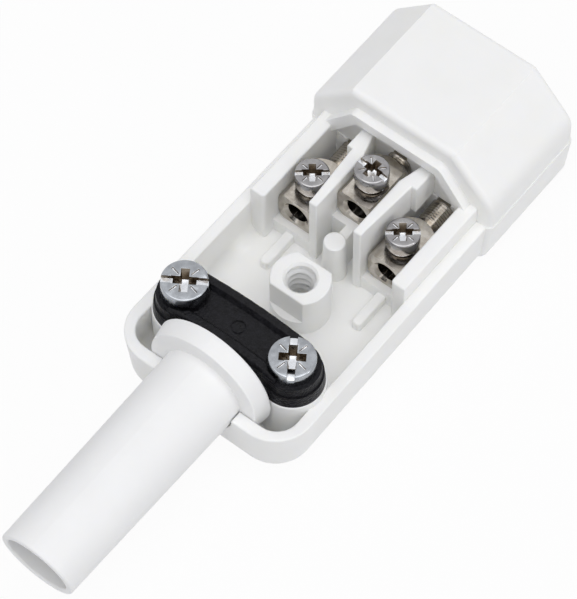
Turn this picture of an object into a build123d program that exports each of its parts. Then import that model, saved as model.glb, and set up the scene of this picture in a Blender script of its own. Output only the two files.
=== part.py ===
from build123d import *
from math import cos, radians, sin, tan
import os

# Rewireable appliance plug with its cover taken off, three flat pins in a hood.
# Millimetres. +X is to the right, +Y runs towards the open front of the hood and
# +Z is up, out of the open side of the wiring tray. The underside is flat at Z = 0.

os.makedirs("parts", exist_ok=True)

# Lengths along Y
sleeve_reach = 28.97
tray_length = 40.55
hood_length = 17.45
mouth_slant = 7.5
sleeve_mouth_radius = 5.23
sleeve_mouth_round = 0.25
mouth_lead = (sleeve_mouth_radius - sleeve_mouth_round) * tan(radians(mouth_slant))
overall_length = mouth_lead + sleeve_reach + tray_length + hood_length
cord_end = mouth_lead + sleeve_reach - overall_length / 2
hood_rear = cord_end + tray_length
hood_front = hood_rear + hood_length

# Clearances
slip = 0.05
loose = 0.15

# Wiring tray
rim_height = 9.0
rim_width_cord = 27.3
rim_width_hood = 26.8
tray_wall = 1.65
end_wall = 1.75
floor_thickness = 2.3
tray_corner = 5.3
inner_corner = 3.0
tray_draft = 4.5
inner_draft = 1.0
under_radius = 3.4
inner_under_radius = 1.9
rim_round = 0.22

# Hood: a tube of eight-sided section. Its lower half stands a little proud of the upper
# half all round the mould's parting line.
hood_height = 19.5
hood_width = 28.3
hood_shoulder_height = 13.15
hood_shoulder_width = 27.9
hood_top_width = 15.7
hood_draft = 5.5
parting_step = 0.15
hood_top_round = 2.6
hood_shoulder_round = 3.2
hood_rear_round = 0.9
hood_front_round = 0.6
hood_overlap = 3.0

# Socket space inside the hood and the wall that carries the pins
partition = 2.0
cavity_width = 24.5
cavity_height = 16.3
cavity_chamfer = 5.0
cavity_low_round = 1.6
cavity_top_wall = 1.65

# Ledge round the rear of the hood that the cover slides over
ledge_height = 17.0
ledge_top_width = 13.5
ledge_width = 23.4
ledge_side_height = 10.6
ledge_thickness = 1.6
ledge_reach = 1.1
ledge_round = 1.2

# Contacts: two live pins in line and the earth pin above and between them
pin_pitch = 14.0
live_height = 6.95
earth_rise = 4.0
earth_height = live_height + earth_rise
head_width = 5.5
head_thickness = 4.85
head_bar_radius = 3.25
head_length = 7.0
live_head_front = 28.75
earth_head_set_back = 2.85
shank_radius = 1.75
groove_pitch = 0.38
groove_depth = 0.16
shank_in_wall = 1.1
blade_thickness = 2.0
blade_height = 4.0
blade_tip = 1.0
live_tip_recess = 2.2
earth_tip_lead = 1.2
wire_hole_radius = 1.5
wire_hole_depth = 6.4
wire_hole_flare = 0.4
head_edge_break = 0.15

# Terminal screws
screw_set_back = 3.3
terminal_thread_radius = 1.75
terminal_head_radius = 2.18
terminal_head_height = 2.1
terminal_screw_lift = 1.1
terminal_tip_gap = 0.15
terminal_slot_width = 0.75
live_slot_angle = 38.4
earth_slot_angle = -3.0

# Walls and ledges of the terminal chambers
divider_height = 14.5
divider_inner = head_width / 2 + slip
divider_root = pin_pitch / 2 - head_width / 2 - slip
divider_tip = divider_root - 0.2
divider_upper = divider_root + 0.4
divider_foot = divider_root + 1.15
divider_front = 27.4
divider_land = 1.0
divider_step = 36.9
flare_root = divider_inner + 1.05
flare_mid = divider_inner + 0.55
flare_start = 36.7
flare_mid_y = 38.6
side_wall_height = 11.8
side_wall_inner = pin_pitch / 2 + head_width / 2 + slip
side_wall_outer = rim_width_hood / 2 - tray_wall + loose
side_wall_front = 25.9
seat_lead = 1.0
rib_width = 1.35
rib_height = 3.7
rib_front = 22.4
rib_offset = 0.2
wall_round = 0.25
tip_round = 0.5

# Post and threaded boss on the centre line
post_radius = 1.4
post_height = 9.2
post_y = 27.55
post_draft = 2.0
post_round = 0.2
boss_radius = 3.85
boss_flat = 2.9
boss_height = 9.25
boss_shelf = 5.0
boss_y = 20.8
cover_screw_radius = 1.95
cover_screw_depth = 6.4
boss_edge = 0.3

# Cord clamp
clamp_y = 8.7
clamp_spacing = 16.44
clamp_boss_radius = 4.15
clamp_boss_height = 10.0
clamp_boss_round = 0.2
clamp_thread_radius = 1.5
clamp_screw_length = 9.0
clamp_hole_radius = 1.7
clamp_head_radius = 2.93
clamp_head_height = 2.0
left_screw_lift = 0.8
left_slot_angle = 33.0
right_slot_angle = 124.0
clamp_slot_width = 0.85

# Clamp bar
bar_end_radius = 4.0
bar_step_height = 11.7
bar_step = 0.2
bar_seat_height = 13.2
bar_end_draft = 5.0
bar_rim_height = 14.1
bar_panel_height = 13.45
bar_panel_slope = 35.0
bar_half_depth = 3.45
bar_bulge = 0.35
bar_rim_width = 1.6
bar_edge_round = 0.45
bar_seat_margin = 0.35
bar_mark_radius = 1.0
bar_mark_line = 0.25
bar_mark_depth = 0.15
bar_arch_half = 5.4
bar_arch_rise = 1.95

# Cord sleeve
sleeve_axis_height = 9.3
sleeve_root_radius = 5.6
sleeve_bore_radius = 4.35
collar_radius = 8.45
collar_front_radius = 8.0
collar_thickness = 2.5
collar_edge_round = 0.15

# Places worked out from the sizes above
boss_place = (0, cord_end + boss_y)
post_place = (0, cord_end + post_y)
clamp_row = cord_end + clamp_y
live_front = cord_end + live_head_front
earth_front = live_front + earth_head_set_back
live_seat = live_height - head_thickness / 2
earth_seat = earth_height - head_thickness / 2
upper_rear = hood_rear + parting_step
partition_front = hood_rear + partition
collar_back = cord_end + end_wall + slip + collar_thickness


def tray_outline(height, inset, corner, tip_inset):
    """Plan of the tray at one height, with both cord-end corners rounded."""
    cord_half = rim_width_cord / 2 - inset
    hood_half = rim_width_hood / 2 - inset
    tail = hood_rear + hood_overlap
    with BuildSketch(Plane.XY.offset(height)) as outline:
        with BuildLine():
            Polyline(
                (-hood_half, tail),
                (-cord_half, cord_end + tip_inset),
                (cord_half, cord_end + tip_inset),
                (hood_half, tail),
                close=True,
            )
        make_face()
        fillet(outline.vertices().group_by(Axis.Y)[0], corner)
    return outline.sketch


# Solid of the tray, drafted and rounded underneath
tray_taper = rim_height * tan(radians(tray_draft))
with BuildPart() as tray_block:
    add(tray_outline(rim_height, 0, tray_corner, 0))
    add(tray_outline(0, tray_taper, tray_corner - tray_taper / 2, tray_taper))
    loft()
    fillet(tray_block.faces().sort_by(Axis.Z)[0].edges().filter_by(
        lambda e: e.center().Y < hood_rear), under_radius)

# Hollow of the tray, closed by the rear face of the hood
inner_taper = (rim_height - floor_thickness) * tan(radians(inner_draft))
with BuildPart() as tray_hollow:
    add(tray_outline(rim_height, tray_wall, inner_corner, end_wall))
    add(tray_outline(floor_thickness, tray_wall + inner_taper, inner_corner, end_wall + inner_taper))
    loft()
    floor_edges = tray_hollow.faces().sort_by(Axis.Z)[0].edges()
    fillet(floor_edges.filter_by(lambda e: e.center().Y < hood_rear), inner_under_radius)
    split(bisect_by=Plane.XZ.offset(-hood_rear), keep=Keep.TOP)

# Lower half of the hood
parting_half = hood_width / 2
sole_half = parting_half - rim_height * tan(radians(hood_draft))
with BuildPart() as hood_lower:
    with BuildSketch(Plane.XZ.offset(-hood_rear)) as lower_section:
        with BuildLine():
            Polyline(
                (-sole_half, 0),
                (sole_half, 0),
                (parting_half, rim_height),
                (-parting_half, rim_height),
                close=True,
            )
        make_face()
        fillet(lower_section.vertices().group_by(Axis.Y)[0], under_radius)
    extrude(amount=-hood_length)
    front_edges = hood_lower.faces().sort_by(Axis.Y)[-1].edges()
    fillet(front_edges.filter_by(lambda e: e.center().Z < rim_height - slip), hood_front_round)
    rear_edges = hood_lower.faces().sort_by(Axis.Y)[0].edges()
    fillet(rear_edges.filter_by(lambda e: e.center().Z < rim_height - slip), hood_rear_round)

# Upper half of the hood
upper_half = parting_half - parting_step
with BuildPart() as hood_upper:
    with BuildSketch(Plane.XZ.offset(-upper_rear)) as upper_section:
        with BuildLine():
            Polyline(
                (-upper_half, rim_height),
                (upper_half, rim_height),
                (hood_shoulder_width / 2, hood_shoulder_height),
                (hood_top_width / 2, hood_height),
                (-hood_top_width / 2, hood_height),
                (-hood_shoulder_width / 2, hood_shoulder_height),
                close=True,
            )
        make_face()
        corners = upper_section.vertices().group_by(Axis.Y)
        fillet(corners[1], hood_shoulder_round)
        fillet(corners[-1], hood_top_round)
    extrude(amount=upper_rear + parting_step - hood_front)
    front_edges = hood_upper.faces().sort_by(Axis.Y)[-1].edges()
    fillet(front_edges.filter_by(lambda e: e.center().Z > rim_height + slip), hood_front_round)
    rear_edges = hood_upper.faces().sort_by(Axis.Y)[0].edges()
    fillet(rear_edges.filter_by(lambda e: e.center().Z > rim_height + slip), hood_rear_round)

# Socket space, open to the front
cavity_top = hood_height - cavity_top_wall
cavity_half = cavity_width / 2
cavity_floor = cavity_top - cavity_height
with BuildPart() as hood_cavity:
    with BuildSketch(Plane.XZ.offset(-partition_front)) as cavity_section:
        with BuildLine():
            Polyline(
                (-cavity_half, cavity_floor),
                (cavity_half, cavity_floor),
                (cavity_half, cavity_top - cavity_chamfer),
                (cavity_half - cavity_chamfer, cavity_top),
                (cavity_chamfer - cavity_half, cavity_top),
                (-cavity_half, cavity_top - cavity_chamfer),
                close=True,
            )
        make_face()
        fillet(cavity_section.vertices().group_by(Axis.Y)[0], cavity_low_round)
    extrude(amount=partition_front - hood_front)

# One of the two tall dividers, flared round the far end of the earth contact. It is
# thicker above the head of the live contact, most of all at its root.
root_height = live_height + head_thickness / 2 + slip
land_end = cord_end + divider_front + divider_land
with BuildPart() as divider:
    with BuildSketch(Plane.XY.offset(floor_thickness)):
        with BuildLine():
            Polyline(
                (divider_inner, cord_end + flare_start),
                (divider_inner, cord_end + divider_front),
                (divider_tip, cord_end + divider_front),
                (divider_tip, land_end),
                (divider_root, upper_rear),
                (flare_root, upper_rear),
            )
            ThreePointArc(
                (flare_root, upper_rear),
                (flare_mid, cord_end + flare_mid_y),
                (divider_inner, cord_end + flare_start),
            )
        make_face()
    extrude(amount=divider_height - floor_thickness)
    front_edges = divider.faces().sort_by(Axis.Y)[0].edges().filter_by(Axis.Z)
    fillet(front_edges, wall_round)
    with BuildSketch(Plane.XY.offset(root_height)):
        with BuildLine():
            Polyline(
                (divider_inner, land_end),
                (divider_tip, land_end),
                (divider_upper, cord_end + divider_step),
                (divider_foot, cord_end + divider_step),
                (divider_foot, upper_rear),
                (flare_root, upper_rear),
                (divider_inner, cord_end + flare_start),
                close=True,
            )
        make_face()
    extrude(amount=divider_height - root_height)
    top_edges = divider.edges().group_by(Axis.Z)[-1]
    fillet(top_edges.filter_by(lambda e: e.center().Y < upper_rear - slip), wall_round)

# One of the two side walls of the chambers, standing above the rim that carries it
with BuildPart() as side_wall:
    with BuildSketch(Plane.XY.offset(floor_thickness)):
        with Locations((side_wall_inner, cord_end + side_wall_front)):
            Rectangle(side_wall_outer - side_wall_inner, upper_rear - cord_end - side_wall_front,
                      align=(Align.MIN, Align.MIN))
    extrude(amount=side_wall_height - floor_thickness)
    tip_edges = side_wall.faces().sort_by(Axis.Y)[0].edges().filter_by(Axis.Z)
    fillet(tip_edges.sort_by(Axis.X)[0], tip_round)
    top_edges = side_wall.edges().group_by(Axis.Z)[-1]
    fillet(top_edges.filter_by(lambda e: e.center().Y < upper_rear - slip), wall_round)

# One of the two low ribs in front of the live contacts
with BuildPart() as live_rib:
    with BuildSketch(Plane.XY.offset(floor_thickness)):
        with Locations((pin_pitch / 2 + rib_offset, cord_end + rib_front)):
            Rectangle(rib_width, live_head_front - seat_lead - rib_front,
                      align=(Align.CENTER, Align.MIN))
    extrude(amount=rib_height - floor_thickness)
    fillet(live_rib.faces().sort_by(Axis.Y)[0].edges().filter_by(Axis.Z), tip_round)
    top_edges = live_rib.edges().group_by(Axis.Z)[-1]
    fillet(top_edges.filter_by(lambda e: e.center().Y < live_front - seat_lead - slip), wall_round)

# Rib from the post to the earth seat, and the post
with BuildPart() as centre_rib:
    with BuildSketch(Plane.XY.offset(floor_thickness)):
        with Locations(post_place):
            Rectangle(rib_width, earth_front - seat_lead - post_place[1],
                      align=(Align.CENTER, Align.MIN))
    extrude(amount=earth_seat - floor_thickness)
    fillet(centre_rib.edges().group_by(Axis.Z)[-1].filter_by(Axis.Y), wall_round)
post_base = post_radius + (post_height - floor_thickness) * tan(radians(post_draft))
with BuildPart() as post:
    with BuildSketch(Plane.XY.offset(floor_thickness)):
        with Locations(post_place):
            Circle(post_base)
    extrude(amount=post_height - floor_thickness, taper=post_draft)
    fillet(post.edges().group_by(Axis.Z)[-1], post_round)

# Housing: tray, hood and everything moulded with them
with BuildPart() as housing:
    add(tray_block.part)
    add(tray_hollow.part, mode=Mode.SUBTRACT)
    rim_face = housing.faces().filter_by(Axis.Z).group_by(Axis.Z)[-1]
    rim_edges = rim_face.edges().filter_by(lambda e: e.center().Y < hood_rear - slip)
    fillet(rim_edges, rim_round)
    add(hood_lower.part)
    add(hood_upper.part)

    # Low seats that the contact heads lie on
    with BuildSketch(Plane.XY.offset(floor_thickness)):
        for side in (-1, 1):
            with Locations((side * (divider_tip + side_wall_inner) / 2, live_front - seat_lead)):
                Rectangle(side_wall_inner - divider_tip, hood_rear - live_front + seat_lead,
                          align=(Align.CENTER, Align.MIN))
    extrude(amount=live_seat - floor_thickness)
    with BuildSketch(Plane.XY.offset(floor_thickness)):
        with Locations((0, earth_front - seat_lead)):
            Rectangle(2 * divider_tip, hood_rear - earth_front + seat_lead,
                      align=(Align.CENTER, Align.MIN))
    extrude(amount=earth_seat - floor_thickness)

    # Walls, ribs and post
    for piece in (divider, side_wall, live_rib):
        add(piece.part)
        add(mirror(piece.part, about=Plane.YZ))
    add(centre_rib.part)
    add(post.part)

    # Boss for the cover screw: a full round base with two flats above its shelf
    with BuildSketch(Plane.XY.offset(floor_thickness)):
        with Locations(boss_place):
            Circle(boss_radius)
    extrude(amount=boss_shelf - floor_thickness)
    with BuildSketch(Plane.XY.offset(boss_shelf)):
        with Locations(boss_place):
            Circle(boss_radius)
            Rectangle(2 * boss_radius, 2 * boss_flat, mode=Mode.INTERSECT)
    extrude(amount=boss_height - boss_shelf)
    near_boss = housing.edges().filter_by(
        lambda e: abs(e.center().X) < boss_radius and abs(e.center().Y - boss_place[1]) < boss_radius)
    fillet(near_boss.group_by(Axis.Z)[-1], post_round)

    # Bosses that the clamp bar rests on, run into the tray's wall on their outer side
    with BuildSketch(Plane.XY.offset(floor_thickness)):
        with Locations((0, clamp_row)):
            with GridLocations(clamp_spacing, 0, 2, 1):
                Circle(clamp_boss_radius)
    extrude(amount=clamp_boss_height - floor_thickness)
    fillet(housing.faces().filter_by(Axis.Z).filter_by(
        lambda f: abs(f.center().Z - clamp_boss_height) < slip and abs(f.center().Y - clamp_row) < slip
    ).edges(), clamp_boss_round)

    # Ledge round the rear of the hood
    with BuildSketch(Plane.XZ.offset(-upper_rear)) as ledge_section:
        with BuildLine():
            Polyline(
                (-ledge_width / 2, floor_thickness),
                (ledge_width / 2, floor_thickness),
                (ledge_width / 2, ledge_side_height),
                (ledge_top_width / 2, ledge_height),
                (-ledge_top_width / 2, ledge_height),
                (-ledge_width / 2, ledge_side_height),
                close=True,
            )
        make_face()
        fillet(ledge_section.vertices().group_by(Axis.Y)[-1], ledge_round)
        offset(amount=-ledge_thickness, mode=Mode.SUBTRACT)
        with Locations((0, floor_thickness)):
            Rectangle(ledge_width, rim_height - floor_thickness,
                      align=(Align.CENTER, Align.MIN), mode=Mode.SUBTRACT)
    extrude(amount=parting_step + ledge_reach)

    # Socket space
    add(hood_cavity.part, mode=Mode.SUBTRACT)

    # Round notch for the sleeve and the groove in the floor under its collar
    with BuildSketch(Plane.XZ.offset(-cord_end + slip)):
        with Locations((0, sleeve_axis_height)):
            Circle(sleeve_root_radius + loose)
    extrude(amount=-(end_wall + 2 * slip + inner_taper), mode=Mode.SUBTRACT)
    with BuildSketch(Plane.XZ.offset(-(cord_end + end_wall))):
        with Locations((0, sleeve_axis_height)):
            Circle(collar_radius + loose)
    extrude(amount=-(collar_thickness + 2 * slip + loose), mode=Mode.SUBTRACT)

    # Screw holes
    with Locations((0, boss_place[1], boss_height)):
        CounterSinkHole(cover_screw_radius, cover_screw_radius + boss_edge, cover_screw_depth)
    with Locations((0, clamp_row, clamp_boss_height)):
        with GridLocations(clamp_spacing, 0, 2, 1):
            Hole(clamp_thread_radius + slip, clamp_boss_height - floor_thickness / 2)

    # Holes in the partition: a round seat for each shank, then a slot for its blade
    pin_places = (
        (-pin_pitch / 2, live_height),
        (0, earth_height),
        (pin_pitch / 2, live_height),
    )
    with BuildSketch(Plane.XZ.offset(-hood_rear)):
        with Locations(*pin_places):
            Circle(shank_radius + slip)
    extrude(amount=-(shank_in_wall + slip), mode=Mode.SUBTRACT)
    with BuildSketch(Plane.XZ.offset(-hood_rear)):
        with Locations(*pin_places):
            Rectangle(blade_thickness + 2 * slip, blade_height + 2 * slip)
    extrude(amount=-partition, mode=Mode.SUBTRACT)

housing.part.label = "housing"
export_step(housing.part, "parts/housing.step")


def make_contact(x, height, head_front, tip):
    """One contact turned and milled from bar: head with wire hole, grooved shank and blade."""
    cone = head_bar_radius - shank_radius
    cone_start = head_front + head_length
    shank_start = cone_start + cone
    shank_end = hood_rear + shank_in_wall
    grooves = int((hood_rear - shank_start) / groove_pitch)
    profile = [
        (head_front, 0),
        (head_front, head_bar_radius - head_edge_break),
        (head_front + head_edge_break, head_bar_radius),
        (cone_start, head_bar_radius),
        (shank_start, shank_radius),
    ]
    for turn in range(grooves):
        groove = shank_start + turn * groove_pitch
        profile.append((groove + groove_pitch / 2, shank_radius - groove_depth))
        profile.append((groove + groove_pitch, shank_radius))
    profile += [(shank_end, shank_radius), (shank_end, 0)]
    axis = Axis((x, 0, height), (0, 1, 0))
    with BuildPart() as contact:
        with BuildSketch(Plane.YZ.offset(x)):
            with BuildLine():
                Polyline(*[(y, height + r) for y, r in profile], close=True)
            make_face()
        revolve(axis=axis)
        # Four flats on the head, which the thinner shank lies inside
        for plane, keep in (
            (Plane.YZ.offset(x + head_width / 2), Keep.BOTTOM),
            (Plane.YZ.offset(x - head_width / 2), Keep.TOP),
            (Plane.XY.offset(height + head_thickness / 2), Keep.BOTTOM),
            (Plane.XY.offset(height - head_thickness / 2), Keep.TOP),
        ):
            split(bisect_by=plane, keep=keep)
        # Blade with a pointed tip
        with BuildSketch(Plane.XZ.offset(-shank_end)):
            with Locations((x, height)):
                Rectangle(blade_thickness, blade_height)
        extrude(amount=-(tip - shank_end))
        tip_edges = contact.faces().sort_by(Axis.Y)[-1].edges()
        chamfer(tip_edges.filter_by(Axis.X), blade_tip, blade_tip)
        side_edges = contact.faces().sort_by(Axis.Y)[-1].edges().filter_by(Axis.Z)
        chamfer(side_edges, blade_thickness / 4)
        # Wire hole from the front and the hole for its screw from above
        with BuildSketch(Plane.XZ.offset(-head_front)):
            with Locations((x, height)):
                Circle(wire_hole_radius + wire_hole_flare)
        extrude(amount=-wire_hole_flare, taper=45, mode=Mode.SUBTRACT)
        with BuildSketch(Plane.XZ.offset(-head_front)):
            with Locations((x, height)):
                Circle(wire_hole_radius)
        extrude(amount=-wire_hole_depth, mode=Mode.SUBTRACT)
        with Locations((x, head_front + screw_set_back, height + head_thickness / 2)):
            Hole(terminal_thread_radius + slip, head_thickness / 2)
    return contact.part


def make_screw(x, y, seat, head_radius, head_height, thread_radius, length, slot_width, slot_angle):
    """Screw with a flat head, a straight slot and a cross recess; seat is under the head."""
    edge = head_height / 8
    top = seat + head_height
    wing = head_radius * 0.62
    with BuildPart() as screw:
        with BuildSketch(Plane.XY.offset(seat)):
            with Locations((x, y)):
                Circle(head_radius)
        extrude(amount=head_height)
        fillet(screw.edges().group_by(Axis.Z)[-1], edge)
        with BuildSketch(Plane.XY.offset(seat)):
            with Locations((x, y)):
                Circle(thread_radius)
        extrude(amount=-length)
        chamfer(screw.edges().group_by(Axis.Z)[0], thread_radius / 5)
        with BuildSketch(Plane.XY.offset(top)):
            with Locations(Location((x, y), slot_angle)):
                Rectangle(2 * head_radius, slot_width)
        extrude(amount=-head_height * 0.4, mode=Mode.SUBTRACT)
        with BuildSketch(Plane.XY.offset(top)):
            with Locations(Location((x, y), slot_angle)):
                Rectangle(2 * wing, slot_width)
                Rectangle(slot_width, 2 * wing)
        extrude(amount=-head_height * 0.75, taper=12, mode=Mode.SUBTRACT)
    return screw.part


# Contacts and their screws
live_tip = hood_front - live_tip_recess
earth_tip = live_tip + earth_tip_lead
terminals = (
    ("line", -pin_pitch / 2, live_height, live_front, live_tip, live_slot_angle),
    ("neutral", pin_pitch / 2, live_height, live_front, live_tip, live_slot_angle),
    ("earth", 0, earth_height, earth_front, earth_tip, earth_slot_angle),
)
for pole, pole_x, pole_height, pole_front, pole_tip, pole_slot in terminals:
    contact_part = make_contact(pole_x, pole_height, pole_front, pole_tip)
    contact_part.label = "contact_" + pole
    export_step(contact_part, "parts/contact_" + pole + ".step")

    head_top = pole_height + head_thickness / 2
    seat_height = head_top + terminal_screw_lift
    tip_height = pole_height + wire_hole_radius + terminal_tip_gap
    terminal_part = make_screw(
        pole_x, pole_front + screw_set_back, seat_height, terminal_head_radius,
        terminal_head_height, terminal_thread_radius, seat_height - tip_height,
        terminal_slot_width, pole_slot)
    terminal_part.label = "terminal_screw_" + pole
    export_step(terminal_part, "parts/terminal_screw_" + pole + ".step")

# Cord sleeve: a tapered tube with a slanted mouth and a collar that stands in the tray
collar_front = collar_back - collar_thickness
mouth = cord_end - sleeve_reach
blank_end = mouth - sleeve_mouth_radius
sleeve_taper = (sleeve_root_radius - sleeve_mouth_radius) / (collar_front - mouth)
blank_radius = sleeve_mouth_radius - sleeve_taper * (mouth - blank_end)
slant = radians(mouth_slant)
with BuildPart() as cord_sleeve:
    with BuildSketch(Plane.YZ) as sleeve_profile:
        with BuildLine():
            Polyline(
                (blank_end, sleeve_axis_height + sleeve_bore_radius),
                (blank_end, sleeve_axis_height + blank_radius),
                (collar_front, sleeve_axis_height + sleeve_root_radius),
                (collar_front, sleeve_axis_height + collar_front_radius),
                (collar_back, sleeve_axis_height + collar_radius),
                (collar_back, sleeve_axis_height + sleeve_bore_radius),
                close=True,
            )
        make_face()
        fillet(sleeve_profile.vertices().group_by(Axis.Y)[-2:], collar_edge_round)
    revolve(axis=Axis((0, 0, sleeve_axis_height), (0, 1, 0)))
    split(bisect_by=Plane(origin=(0, mouth, sleeve_axis_height), z_dir=(0, -cos(slant), -sin(slant))),
          keep=Keep.BOTTOM)
    fillet(cord_sleeve.faces().sort_by(Axis.Y)[0].edges(), sleeve_mouth_round)
cord_sleeve.part.label = "cord_sleeve"
export_step(cord_sleeve.part, "parts/cord_sleeve.step")

# Clamp bar: two round drafted ends, and a waist with raised rims round a sunk panel
clamp_half = clamp_spacing / 2
bar_base = clamp_boss_height
bar_upper_radius = bar_end_radius - bar_step - (bar_step_height - bar_base) * tan(radians(bar_end_draft))
bar_recess = bar_upper_radius - (bar_seat_height - bar_step_height) * tan(radians(bar_end_draft)) - bar_seat_margin
far_edge = clamp_row + bar_half_depth
near_edge = clamp_row - bar_half_depth
with BuildPart() as clamp_bar:
    with BuildSketch(Plane.XY.offset(bar_base)):
        with BuildLine():
            ThreePointArc((-clamp_half, far_edge), (0, far_edge + bar_bulge), (clamp_half, far_edge))
            Line((clamp_half, far_edge), (clamp_half, near_edge))
            ThreePointArc((clamp_half, near_edge), (0, near_edge + bar_bulge), (-clamp_half, near_edge))
            Line((-clamp_half, near_edge), (-clamp_half, far_edge))
        make_face()
    extrude(amount=bar_rim_height - bar_base)
    fillet(clamp_bar.edges().group_by(Axis.Z)[-1], bar_edge_round)
    # Sunk panel between the two rims
    with BuildSketch(Plane.XY.offset(bar_panel_height)):
        with BuildLine():
            panel_half = bar_half_depth - bar_rim_width
            ThreePointArc((-clamp_half, clamp_row + panel_half),
                          (0, clamp_row + panel_half + bar_bulge),
                          (clamp_half, clamp_row + panel_half))
            Line((clamp_half, clamp_row + panel_half), (clamp_half, clamp_row - panel_half))
            ThreePointArc((clamp_half, clamp_row - panel_half),
                          (0, clamp_row - panel_half + bar_bulge),
                          (-clamp_half, clamp_row - panel_half))
            Line((-clamp_half, clamp_row - panel_half), (-clamp_half, clamp_row + panel_half))
        make_face()
    extrude(amount=bar_rim_height - bar_panel_height, taper=-bar_panel_slope, mode=Mode.SUBTRACT)
    # Ends, with a flat seat under each screw head
    with BuildSketch(Plane.XY.offset(bar_base)):
        with Locations((-clamp_half, clamp_row), (clamp_half, clamp_row)):
            Circle(bar_end_radius)
    extrude(amount=bar_step_height - bar_base, taper=bar_end_draft)
    with BuildSketch(Plane.XY.offset(bar_step_height)):
        with Locations((-clamp_half, clamp_row), (clamp_half, clamp_row)):
            Circle(bar_upper_radius)
    extrude(amount=bar_seat_height - bar_step_height, taper=bar_end_draft)
    with BuildSketch(Plane.XY.offset(bar_seat_height)):
        with Locations((-clamp_half, clamp_row), (clamp_half, clamp_row)):
            Circle(bar_recess)
    extrude(amount=bar_rim_height - bar_seat_height, mode=Mode.SUBTRACT)
    with BuildSketch(Plane.XY.offset(bar_base)):
        with Locations((-clamp_half, clamp_row), (clamp_half, clamp_row)):
            Circle(clamp_hole_radius)
    extrude(amount=bar_seat_height - bar_base, mode=Mode.SUBTRACT)
    # Plain round mark in the middle of the panel
    with BuildSketch(Plane.XY.offset(bar_panel_height)):
        with Locations((0, clamp_row)):
            Circle(bar_mark_radius)
            Circle(bar_mark_radius - bar_mark_line, mode=Mode.SUBTRACT)
    extrude(amount=-bar_mark_depth, mode=Mode.SUBTRACT)
    # Arched underside over the cord
    with BuildSketch(Plane.XZ.offset(-near_edge + bar_end_radius)):
        with BuildLine():
            ThreePointArc((-bar_arch_half, bar_base), (0, bar_base + bar_arch_rise), (bar_arch_half, bar_base))
            Line((bar_arch_half, bar_base), (-bar_arch_half, bar_base))
        make_face()
    extrude(amount=-(2 * bar_half_depth + 2 * bar_end_radius), mode=Mode.SUBTRACT)
clamp_bar.part.label = "clamp_bar"
export_step(clamp_bar.part, "parts/clamp_bar.step")

# Clamp screws, the left one not driven fully home
clamp_screws = (
    ("left", -clamp_half, left_screw_lift, left_slot_angle),
    ("right", clamp_half, 0, right_slot_angle),
)
for side_name, screw_x, lift, slot_angle in clamp_screws:
    clamp_part = make_screw(
        screw_x, clamp_row, bar_seat_height + lift, clamp_head_radius, clamp_head_height,
        clamp_thread_radius, clamp_screw_length, clamp_slot_width, slot_angle)
    clamp_part.label = "clamp_screw_" + side_name
    export_step(clamp_part, "parts/clamp_screw_" + side_name + ".step")
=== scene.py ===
# %% [markdown]
# # A rewireable appliance plug, seen open
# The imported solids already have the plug's sizes and places. This lesson dresses them:
# it sets up the camera and the studio, gives every part a finish, and models the small
# things that are struck and rolled into metal, such as screw recesses and threads.

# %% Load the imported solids
import math

import bpy
from mathutils import Matrix, Vector


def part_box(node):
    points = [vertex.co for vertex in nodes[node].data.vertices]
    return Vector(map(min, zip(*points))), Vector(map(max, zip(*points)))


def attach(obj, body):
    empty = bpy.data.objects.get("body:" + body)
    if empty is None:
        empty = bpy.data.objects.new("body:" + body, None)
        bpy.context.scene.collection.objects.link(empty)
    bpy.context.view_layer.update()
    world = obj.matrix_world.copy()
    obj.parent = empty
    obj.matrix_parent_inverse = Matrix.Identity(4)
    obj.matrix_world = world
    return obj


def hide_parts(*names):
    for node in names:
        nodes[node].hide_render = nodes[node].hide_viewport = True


MM = 0.001
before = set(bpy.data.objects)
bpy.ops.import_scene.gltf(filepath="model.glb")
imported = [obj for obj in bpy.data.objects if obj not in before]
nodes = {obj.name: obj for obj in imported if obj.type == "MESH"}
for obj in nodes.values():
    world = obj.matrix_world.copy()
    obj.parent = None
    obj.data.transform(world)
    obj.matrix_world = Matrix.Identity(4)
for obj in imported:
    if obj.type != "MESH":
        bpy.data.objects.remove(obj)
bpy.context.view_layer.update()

# %% [markdown]
# The photograph looks down on the plug from above its cord end. The camera stands a good
# way off with a long lens, so the edges that run away from it stay nearly parallel. It is
# turned a quarter of a degree about its own axis, as a hand-held camera would be.

# %% Camera
CAMERA_PLACE = Vector((137.27, -169.102, 372.82)) * MM
CAMERA_AIM = Vector((0.866, 3.095, 9.618)) * MM
CAMERA_LENS = 210.37
CAMERA_ROLL = -0.25

bpy.ops.object.select_all(action="DESELECT")
bpy.ops.object.camera_add(location=CAMERA_PLACE)
camera = bpy.context.object
camera.name = "photo_camera"
camera.data.lens = CAMERA_LENS
camera.data.sensor_width = 36.0
camera.data.sensor_fit = "AUTO"
camera.data.clip_start = 0.01
camera.data.clip_end = 20.0
camera.rotation_mode = "QUATERNION"
look = (CAMERA_AIM - CAMERA_PLACE).to_track_quat("-Z", "Y")
roll = Matrix.Rotation(math.radians(CAMERA_ROLL), 3, "Z").to_quaternion()
camera.rotation_quaternion = look @ roll
bpy.context.scene.camera = camera
print("camera", round((CAMERA_AIM - CAMERA_PLACE).length, 3), "m from the plug")

# %% [markdown]
# A material is a small graph of nodes. These helpers keep the graphs short to read: one
# makes a bare material, one adds a node with its settings, one joins two sockets, and one
# gives Object coordinates, which stay fixed to the part however the camera moves.

# %% Helpers for materials
def new_material(name):
    material = bpy.data.materials.new(name)
    material.use_nodes = True
    material.node_tree.nodes.clear()
    return material, material.node_tree


def add_node(tree, kind, **settings):
    node = tree.nodes.new(kind)
    for key, value in settings.items():
        if key in node.inputs:
            node.inputs[key].default_value = value
        else:
            setattr(node, key, value)
    return node


def join(tree, source, out, target, socket):
    tree.links.new(source.outputs[out], target.inputs[socket])


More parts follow.
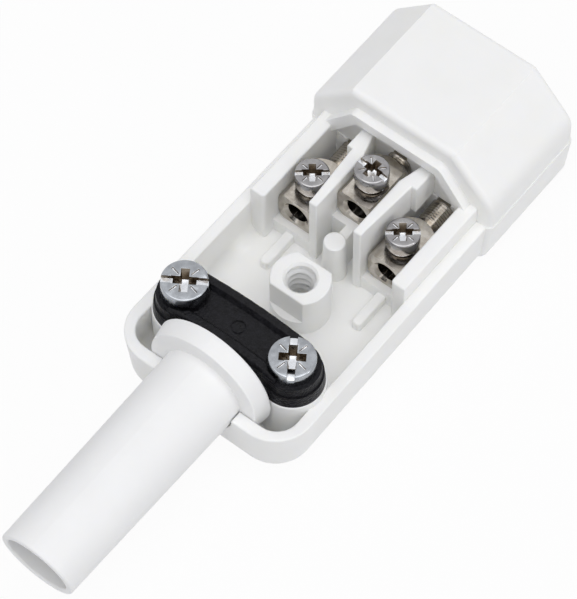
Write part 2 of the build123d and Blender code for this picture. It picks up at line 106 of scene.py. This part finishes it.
def object_place(tree):
    return add_node(tree, "ShaderNodeTexCoord")


def noise(tree, place, scale, detail=3.0, roughness=0.5):
    node = add_node(tree, "ShaderNodeTexNoise", Scale=scale, Detail=detail, Roughness=roughness)
    join(tree, place, "Object", node, "Vector")
    return node


def remap(tree, source, low, high):
    node = add_node(tree, "ShaderNodeMapRange")
    node.inputs["From Min"].default_value = 0.3
    node.inputs["From Max"].default_value = 0.7
    node.inputs["To Min"].default_value = low
    node.inputs["To Max"].default_value = high
    join(tree, source, "Fac", node, "Value")
    return node


def bump(tree, source, out, depth, strength=1.0, below=None):
    node = add_node(tree, "ShaderNodeBump", Distance=depth, Strength=strength)
    join(tree, source, out, node, "Height")
    if below:
        join(tree, below, "Normal", node, "Normal")
    return node


def two_tone(tree, source, dark, light):
    ramp = add_node(tree, "ShaderNodeValToRGB")
    ramp.color_ramp.elements[0].position = 0.35
    ramp.color_ramp.elements[1].position = 0.65
    ramp.color_ramp.elements[0].color = (*dark, 1.0)
    ramp.color_ramp.elements[1].color = (*light, 1.0)
    join(tree, source, "Fac", ramp, "Fac")
    return ramp


def close_material(tree, shader):
    output = add_node(tree, "ShaderNodeOutputMaterial")
    tree.links.new(shader.outputs[0], output.inputs["Surface"])


print("helpers ready")

# %% [markdown]
# The housing is moulded in one white plastic. Close up, such plastic isn't flat white: it
# has a faint warm cast, a roughness that changes a little from place to place, and a skin
# of very low, very fine waves. Three noises at different scales give those. A little light
# also sinks in and comes out nearby, which softens the small edges.

# %% White plastic
def white_plastic(name, dark, light, low_rough, high_rough, wave, grain, glow):
    material, tree = new_material(name)
    place = object_place(tree)
    broad = noise(tree, place, 160.0, 2.0)
    fine = noise(tree, place, 2600.0, 3.0, 0.6)
    skin = noise(tree, place, 520.0, 2.0)
    colour = two_tone(tree, broad, dark, light)
    rough = remap(tree, skin, low_rough, high_rough)
    low_wave = bump(tree, skin, "Fac", wave)
    surface = bump(tree, fine, "Fac", grain, 1.0, low_wave)
    shader = add_node(tree, "ShaderNodeBsdfPrincipled")
    shader.inputs["IOR"].default_value = 1.49
    shader.inputs["Subsurface Weight"].default_value = glow
    shader.inputs["Subsurface Radius"].default_value = (1.0, 0.95, 0.8)
    shader.inputs["Subsurface Scale"].default_value = 1.2 * MM
    join(tree, colour, "Color", shader, "Base Color")
    join(tree, rough, "Result", shader, "Roughness")
    join(tree, surface, "Normal", shader, "Normal")
    close_material(tree, shader)
    return material


housing_white = white_plastic(
    "housing_white_plastic", (0.925, 0.925, 0.905), (0.94, 0.94, 0.925), 0.34, 0.46,
    0.012 * MM, 0.006 * MM, 0.4)
sleeve_white = white_plastic(
    "sleeve_white_plastic", (0.9, 0.9, 0.895), (0.92, 0.92, 0.915), 0.44, 0.58,
    0.02 * MM, 0.008 * MM, 0.2)
print("white plastics made")

# %% [markdown]
# The clamp bar is black plastic from a mould whose walls were etched, so its skin is
# covered with tiny round bumps that sparkle. Voronoi cells about a quarter of a
# millimetre wide stand for them, with a little noise so that no two are alike.

# %% Grained black plastic
def grained_black(name):
    material, tree = new_material(name)
    place = object_place(tree)
    cells = add_node(tree, "ShaderNodeTexVoronoi", Scale=3600.0)
    join(tree, place, "Object", cells, "Vector")
    clumps = noise(tree, place, 1500.0, 4.0, 0.65)
    colour = two_tone(tree, clumps, (0.005, 0.005, 0.006), (0.012, 0.012, 0.015))
    rough = remap(tree, clumps, 0.26, 0.42)
    low_wave = bump(tree, clumps, "Fac", 0.05 * MM)
    surface = bump(tree, cells, "Distance", 0.08 * MM, 0.9, low_wave)
    shader = add_node(tree, "ShaderNodeBsdfPrincipled")
    shader.inputs["IOR"].default_value = 1.53
    shader.inputs["Specular IOR Level"].default_value = 0.12
    join(tree, colour, "Color", shader, "Base Color")
    join(tree, rough, "Result", shader, "Roughness")
    join(tree, surface, "Normal", shader, "Normal")
    close_material(tree, shader)
    return material


bar_black = grained_black("clamp_bar_black_plastic")
print("black plastic made")

# %% [markdown]
# The contacts are milled from brass bar and plated with nickel. The cutter left fine lines
# along the bar, which the plating keeps. A noise that is stretched along Y gives them. The
# clamp screws are steel with bright zinc, whose skin is a little bluish and softly
# clouded. The terminal screws have nickel too. In every head the floors of the recess get
# a painted highlight, a zinc lighter than the top, and the walls of the recess get painted
# shade, a dark brown zinc.

# %% Plated metals
def plated_metal(name, dark, light, low_rough, high_rough, stretch, line_depth):
    material, tree = new_material(name)
    place = object_place(tree)
    mapping = add_node(tree, "ShaderNodeMapping")
    mapping.inputs["Scale"].default_value = stretch
    join(tree, place, "Object", mapping, "Vector")
    lines = add_node(tree, "ShaderNodeTexNoise", Scale=1.0, Detail=4.0, Roughness=0.6)
    join(tree, mapping, "Vector", lines, "Vector")
    clouds = noise(tree, place, 900.0, 3.0)
    colour = two_tone(tree, clouds, dark, light)
    rough = remap(tree, clouds, low_rough, high_rough)
    surface = bump(tree, lines, "Fac", line_depth)
    shader = add_node(tree, "ShaderNodeBsdfPrincipled", Metallic=1.0)
    join(tree, colour, "Color", shader, "Base Color")
    join(tree, rough, "Result", shader, "Roughness")
    join(tree, surface, "Normal", shader, "Normal")
    close_material(tree, shader)
    return material


CLOUDED = (2400.0, 2400.0, 2400.0)
MILLED_ALONG_Y = (5200.0, 260.0, 5200.0)
nickel_plate = plated_metal(
    "contact_nickel_plate", (0.4, 0.365, 0.32), (0.56, 0.53, 0.485), 0.1, 0.2,
    MILLED_ALONG_Y, 0.006 * MM)
zinc_plate = plated_metal(
    "clamp_screw_zinc_plate", (0.31, 0.325, 0.35), (0.4, 0.42, 0.45), 0.16, 0.28,
    CLOUDED, 0.006 * MM)
screw_nickel = plated_metal(
    "terminal_screw_nickel_plate", (0.27, 0.265, 0.275), (0.36, 0.355, 0.36), 0.14, 0.24,
    CLOUDED, 0.004 * MM)
# Painted highlight: a light zinc painted on the floors of each screw recess, where light falls.
painted_highlight_zinc = plated_metal(
    "painted_highlight_zinc_plate", (0.62, 0.64, 0.68), (0.78, 0.8, 0.84), 0.2, 0.3,
    CLOUDED, 0.004 * MM)
# Painted shade: a dark brown zinc painted on the walls of each screw recess, where shade falls.
painted_shade_zinc = plated_metal(
    "painted_shade_zinc_plate", (0.16, 0.13, 0.1), (0.34, 0.3, 0.25), 0.18, 0.3,
    CLOUDED, 0.006 * MM)
print("plated metals made")

# %% Put the finishes on the solids
finishes = {
    "housing": housing_white,
    "cord_sleeve": sleeve_white,
    "clamp_bar": bar_black,
    "contact_line": nickel_plate,
    "contact_neutral": nickel_plate,
    "contact_earth": nickel_plate,
}
for node_name, material in finishes.items():
    holder = nodes[node_name]
    if not holder.material_slots:
        holder.data.materials.append(material)
    for material_slot in holder.material_slots:
        material_slot.link = "OBJECT"
        material_slot.material = material
print("finishes on", ", ".join(finishes))

# %% [markdown]
# Every screw has a straight slot right across its head, a cross recess in the middle and
# four short ticks between the wings of the cross. One screw is modelled as a lathe and a
# mill would make it: a bevelled disc, then cutters that take the recess away. The five
# screws differ only in size, so one function makes them all.

# %% Helpers for modelling
def only(obj):
    bpy.ops.object.select_all(action="DESELECT")
    obj.select_set(True)
    bpy.context.view_layer.objects.active = obj


def apply_modifier(obj, kind, **settings):
    only(obj)
    modifier = obj.modifiers.new("step", kind)
    for key, value in settings.items():
        setattr(modifier, key, value)
    bpy.ops.object.modifier_apply(modifier=modifier.name)


def cut_away(obj, cutter):
    apply_modifier(obj, "BOOLEAN", object=cutter, operation="DIFFERENCE", solver="EXACT")
    bpy.data.objects.remove(cutter)


def settle(obj):
    """Move an object's place and turn into its mesh, so that the object sits at the origin."""
    only(obj)
    bpy.ops.object.transform_apply(location=True, rotation=True, scale=True)


def select_vertices(obj, test):
    """In edit mode, select only the vertices whose local place passes the test."""
    bpy.ops.mesh.select_all(action="DESELECT")
    bpy.ops.object.mode_set(mode="OBJECT")
    for vertex in obj.data.vertices:
        vertex.select = test(vertex.co)
    for edge in obj.data.edges:
        edge.select = all(obj.data.vertices[i].select for i in edge.vertices)
    for face in obj.data.polygons:
        face.select = all(obj.data.vertices[i].select for i in face.vertices)
    bpy.ops.object.mode_set(mode="EDIT")


def box_cutter(size, turn, place, foot=(1.0, 1.0)):
    """A box that hangs down from z 0, narrowed to the given share at its foot."""
    bpy.ops.object.select_all(action="DESELECT")
    bpy.ops.mesh.primitive_cube_add(size=1.0, location=(0, 0, 0))
    cutter = bpy.context.object
    cutter.scale = (size[0], size[1], 2.0 * size[2])
    bpy.ops.object.transform_apply(scale=True)
    bpy.ops.object.mode_set(mode="EDIT")
    select_vertices(cutter, lambda co: co.z < 0)
    bpy.ops.transform.resize(value=(foot[0], foot[1], 1.0), center_override=(0, 0, 0))
    bpy.ops.object.mode_set(mode="OBJECT")
    cutter.rotation_euler = (0, 0, turn)
    cutter.location = place
    settle(cutter)
    return cutter


def finish_piece(obj, name, material, angle=30.0):
    only(obj)
    obj.name = name
    obj.data.name = name
    bpy.ops.object.shade_smooth_by_angle(angle=math.radians(angle))
    obj.data.materials.clear()
    obj.data.materials.append(material)
    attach(obj, "root")
    print(name, len(obj.data.polygons), "faces")


print("modelling helpers ready")

# %% Screws
HEAD_SIDES = 96
SHANK_SIDES = 48
HEAD_ROUND = 0.22 * MM
EDGE_ROUND = 0.04 * MM
SHANK_CHAMFER = 0.3 * MM
TICK_DEPTH = 0.16 * MM
SCREW_PITCH = 0.6 * MM
SHANK_SHARE = 0.82
ROOT_SHARE = 0.8
HEAD_OVERLAP = 0.1


def cut_recess(head, centre, turn, slot, cross, tick_reach):
    """Mill the slot, the two wings of the cross and the four ticks into a head."""
    slot_width, slot_depth = slot
    wing_width, wing_reach, cross_depth = cross
    head_width = head.dimensions.x
    whole_slot = (1.1 * head_width, slot_width, slot_depth)
    cut_away(head, box_cutter(whole_slot, turn, centre, (1.0, 0.9)))
    for quarter in (0.0, math.pi / 2):
        wing = (2.0 * wing_reach, wing_width, cross_depth)
        cut_away(head, box_cutter(wing, turn + quarter, centre, (0.45, 0.6)))
    for tick in range(4):
        angle = turn + math.pi / 4 + tick * math.pi / 2
        place = centre + Vector((math.cos(angle), math.sin(angle), 0)) * tick_reach
        mark = (tick_reach * 0.75, wing_width * 0.3, TICK_DEPTH)
        cut_away(head, box_cutter(mark, angle, place, (0.8, 0.3)))


def make_screw(node_name, plating, head_height, thread_radius, turn, slot, cross, tick_reach):
    low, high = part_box(node_name)
    centre = Vector(((low.x + high.x) / 2, (low.y + high.y) / 2, high.z))
    head_radius = (high.x - low.x) / 2
    bpy.ops.object.select_all(action="DESELECT")
    bpy.ops.mesh.primitive_cylinder_add(
        vertices=HEAD_SIDES, radius=head_radius, depth=head_height,
        location=(centre.x, centre.y, centre.z - head_height / 2))
    head = bpy.context.object
    settle(head)
    bpy.ops.object.mode_set(mode="EDIT")
    select_vertices(head, lambda co: co.z > centre.z - 0.01 * MM)
    bpy.ops.mesh.bevel(offset=HEAD_ROUND, segments=4, affect="EDGES")
    bpy.ops.object.mode_set(mode="OBJECT")
    cut_recess(head, centre, turn, slot, cross, tick_reach)
    apply_modifier(head, "BEVEL", width=EDGE_ROUND, segments=2, limit_method="ANGLE",
                   angle_limit=math.radians(35.0), harden_normals=False)

    shank_length = high.z - head_height - low.z
    bpy.ops.object.select_all(action="DESELECT")
    bpy.ops.mesh.primitive_cylinder_add(
        vertices=SHANK_SIDES, radius=thread_radius * SHANK_SHARE,
        depth=shank_length + head_height * HEAD_OVERLAP,
        location=(centre.x, centre.y, low.z + shank_length / 2 + head_height * HEAD_OVERLAP / 2))
    shank = bpy.context.object
    settle(shank)
    bpy.ops.object.mode_set(mode="EDIT")
    select_vertices(shank, lambda co: co.z < low.z + 0.01 * MM)
    bpy.ops.mesh.bevel(offset=SHANK_CHAMFER, segments=2, affect="EDGES")
    bpy.ops.object.mode_set(mode="OBJECT")

    ridge = thread_ridge(centre.x, centre.y, low.z + SHANK_CHAMFER, high.z - head_height,
                         thread_radius * ROOT_SHARE, thread_radius, SCREW_PITCH)
    only(head)
    shank.select_set(True)
    ridge.select_set(True)
    bpy.ops.object.join()
    finish_piece(head, node_name + "_detail", plating)
    paint_recess_light_and_shade(head, centre, head_radius)
    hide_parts(node_name)
    return head


def paint_recess_light_and_shade(head, centre, head_radius):
    """Paint the floors of the recess light, a painted highlight, and its walls dark brown, a
    painted shade.
    """
    head.data.materials.append(painted_highlight_zinc)
    head.data.materials.append(painted_shade_zinc)
    for face in head.data.polygons:
        spot = face.center
        depth = centre.z - spot.z
        inside = math.hypot(spot.x - centre.x, spot.y - centre.y) < head_radius - 0.06 * MM
        if not inside or depth < 0.05 * MM or face.normal.z < -0.2:
            continue
        # Up-facing floors get the painted highlight, the walls get the painted shade.
        face.material_index = 1 if face.normal.z > 0.75 else 2


def thread_ridge(x, y, bottom, top, root, crest, pitch):
    """A helical ridge with a pointed section, from one radius to another."""
    foot = pitch * 0.42
    tip = pitch * 0.08
    turns = (top - bottom - 2 * foot) / pitch
    steps = round(36 * turns)
    bpy.ops.object.select_all(action="DESELECT")
    bpy.ops.mesh.primitive_circle_add(vertices=4, radius=1.0, location=(0, 0, 0))
    ridge = bpy.context.object
    corners = (
        Vector((root, 0, -foot)), Vector((crest, 0, -tip)),
        Vector((crest, 0, tip)), Vector((root, 0, foot)),
    )
    for vertex, corner in zip(ridge.data.vertices, corners):
        vertex.co = corner
    apply_modifier(ridge, "SCREW", angle=2 * math.pi * turns, screw_offset=pitch * turns,
                   iterations=1, steps=steps, render_steps=steps, axis="Z",
                   use_merge_vertices=True, merge_threshold=0.0001 * MM)
    bpy.ops.object.mode_set(mode="EDIT")
    bpy.ops.mesh.select_all(action="DESELECT")
    bpy.ops.mesh.select_non_manifold(extend=False, use_wire=False, use_boundary=True,
                                     use_multi_face=False, use_non_contiguous=False,
                                     use_verts=False)
    bpy.ops.mesh.edge_face_add()
    bpy.ops.mesh.select_all(action="SELECT")
    bpy.ops.mesh.normals_make_consistent(inside=False)
    bpy.ops.object.mode_set(mode="OBJECT")
    ridge.location = (x, y, bottom + foot)
    settle(ridge)
    return ridge


CLAMP_HEAD = 2.0 * MM
TERMINAL_HEAD = 2.1 * MM
clamp_slot = (1.0 * MM, 0.6 * MM)
clamp_cross = (1.35 * MM, 2.3 * MM, 1.6 * MM)
terminal_slot = (0.75 * MM, 0.45 * MM)
terminal_cross = (1.15 * MM, 1.8 * MM, 1.5 * MM)
clamp_sizes = (zinc_plate, CLAMP_HEAD, 1.5 * MM)
terminal_sizes = (screw_nickel, TERMINAL_HEAD, 1.75 * MM)
screws = (
    ("clamp_screw_left", clamp_sizes, 33.0, clamp_slot, clamp_cross, 1.75 * MM),
    ("clamp_screw_right", clamp_sizes, 124.0, clamp_slot, clamp_cross, 1.75 * MM),
    ("terminal_screw_line", terminal_sizes, 38.4, terminal_slot, terminal_cross, 1.3 * MM),
    ("terminal_screw_neutral", terminal_sizes, 38.4, terminal_slot, terminal_cross, 1.3 * MM),
    ("terminal_screw_earth", terminal_sizes, -3.0, terminal_slot, terminal_cross, 1.3 * MM),
)
for node_name, sizes, turn, slot, cross, tick_reach in screws:
    make_screw(node_name, *sizes, math.radians(turn), slot, cross, tick_reach)

# %% [markdown]
# The boss in the middle of the tray has a coarse thread in its hole. It is one helical
# ridge that stands out of the wall of the hole, low and wide as moulded threads are.

# %% Thread in the boss
BOSS_PLACE = Vector((0.0, 6.613, 9.25)) * MM
BOSS_HOLE = 1.95 * MM
THREAD_FOOT = 3.25 * MM
THREAD_DROP = 0.4 * MM
THREAD_ROOT = BOSS_HOLE + 0.05 * MM
THREAD_CREST = BOSS_HOLE - 0.34 * MM
THREAD_PITCH = 1.2 * MM
boss_thread = thread_ridge(BOSS_PLACE.x, BOSS_PLACE.y, THREAD_FOOT, BOSS_PLACE.z - THREAD_DROP,
                           THREAD_ROOT, THREAD_CREST, THREAD_PITCH)
finish_piece(boss_thread, "cover_screw_thread", housing_white, 50.0)

# %% [markdown]
# The studio is a white floor under a white sky, with one broad soft lamp high over the
# plug and a small one low at its right, which draws bright lines on the metal edges. The
# camera sees the floor and the sky as plain white, and so does metal that mirrors the
# room. The floor still takes the plug's soft shadow, because only part of what the camera
# sees of it is that plain white.

# %% Stage and light
FLOOR_SIZE = 6.0
FLOOR_WHITE_SHARE = 0.94
SKY_STRENGTH = 0.5


def seen_directly(tree):
    """1 for the rays of the camera and of mirrors and glass, 0 for the light between surfaces."""
    path = add_node(tree, "ShaderNodeLightPath")
    camera_or_mirror = add_node(tree, "ShaderNodeMath", operation="MAXIMUM")
    join(tree, path, "Is Camera Ray", camera_or_mirror, 0)
    join(tree, path, "Is Glossy Ray", camera_or_mirror, 1)
    all_of_them = add_node(tree, "ShaderNodeMath", operation="MAXIMUM")
    join(tree, camera_or_mirror, 0, all_of_them, 0)
    join(tree, path, "Is Transmission Ray", all_of_them, 1)
    return all_of_them


bpy.ops.object.select_all(action="DESELECT")
bpy.ops.mesh.primitive_plane_add(size=FLOOR_SIZE, location=(0, 0, 0))
floor = bpy.context.object
floor.name = "studio_floor"
floor_material, tree = new_material("studio_floor_white")
share = add_node(tree, "ShaderNodeMath", operation="MULTIPLY")
share.inputs[1].default_value = FLOOR_WHITE_SHARE
join(tree, seen_directly(tree), 0, share, 0)
cloth = add_node(tree, "ShaderNodeBsdfDiffuse", Color=(0.8, 0.8, 0.8, 1.0))
glow = add_node(tree, "ShaderNodeEmission", Color=(1.0, 1.0, 1.0, 1.0), Strength=1.0)
mixed = add_node(tree, "ShaderNodeMixShader")
join(tree, share, 0, mixed, 0)
tree.links.new(cloth.outputs[0], mixed.inputs[1])
tree.links.new(glow.outputs[0], mixed.inputs[2])
close_material(tree, mixed)
floor.data.materials.append(floor_material)

world = bpy.data.worlds.new("studio_sky")
bpy.context.scene.world = world
world.use_nodes = True
tree = world.node_tree
tree.nodes.clear()
sky = add_node(tree, "ShaderNodeBackground", Color=(0.96, 0.965, 1.0, 1.0), Strength=SKY_STRENGTH)
plain = add_node(tree, "ShaderNodeBackground", Color=(1.0, 1.0, 1.0, 1.0), Strength=1.0)
mixed = add_node(tree, "ShaderNodeMixShader")
join(tree, seen_directly(tree), 0, mixed, 0)
tree.links.new(sky.outputs[0], mixed.inputs[1])
tree.links.new(plain.outputs[0], mixed.inputs[2])
output = add_node(tree, "ShaderNodeOutputWorld")
tree.links.new(mixed.outputs[0], output.inputs["Surface"])


def area_lamp(name, place, aim, size, power):
    bpy.ops.object.select_all(action="DESELECT")
    bpy.ops.object.light_add(type="AREA", location=place)
    lamp = bpy.context.object
    lamp.name = name
    lamp.data.shape = "DISK"
    lamp.data.size = size
    lamp.data.energy = power
    lamp.rotation_mode = "QUATERNION"
    lamp.rotation_quaternion = (Vector(aim) - Vector(place)).to_track_quat("-Z", "Y")
    print(name, power, "W")
    return lamp


area_lamp("top_softbox", (0.12, -0.16, 0.8), (0, 0, 0), 1.0, 3.75)
area_lamp("side_strip", (0.6, 0.12, 0.33), (0, 0, 0), 0.14, 0.45)

# %% Colour management
bpy.context.scene.view_settings.view_transform = "Standard"
